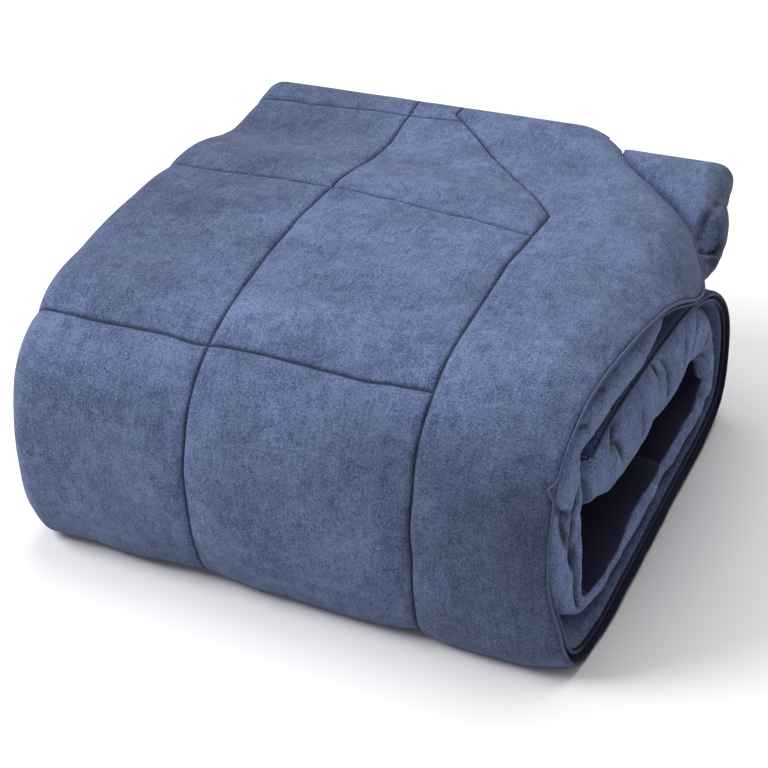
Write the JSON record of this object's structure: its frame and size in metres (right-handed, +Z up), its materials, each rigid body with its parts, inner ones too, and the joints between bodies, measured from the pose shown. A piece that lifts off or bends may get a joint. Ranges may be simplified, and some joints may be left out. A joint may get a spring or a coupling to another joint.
{
  "type": "folded quilt",
  "caption": "Filled quilt, stitched through in squares with piped edges, folded in quarters and wrapped up into a soft block for storage or display on a bed or shelf.",
  "frame": {"origin": "on the surface the quilt lies on, under the middle of its box", "axes": "+Z up, +X across the fold toward the end with the open edges, -Y toward the front"},
  "size_m": [0.6234, 0.6278, 0.3084],
  "materials": {
    "cloth": "brushed matt cloth, dusty blue",
    "piping": "matt cloth, darker blue"
  },
  "bodies": {
    "root": {"quilted_body": "cloth", "edge_piping_upper": "piping", "edge_piping_lower": "piping", "end_piping_outer": "piping", "end_piping_inner": "piping"}
  },
  "joints": []
}
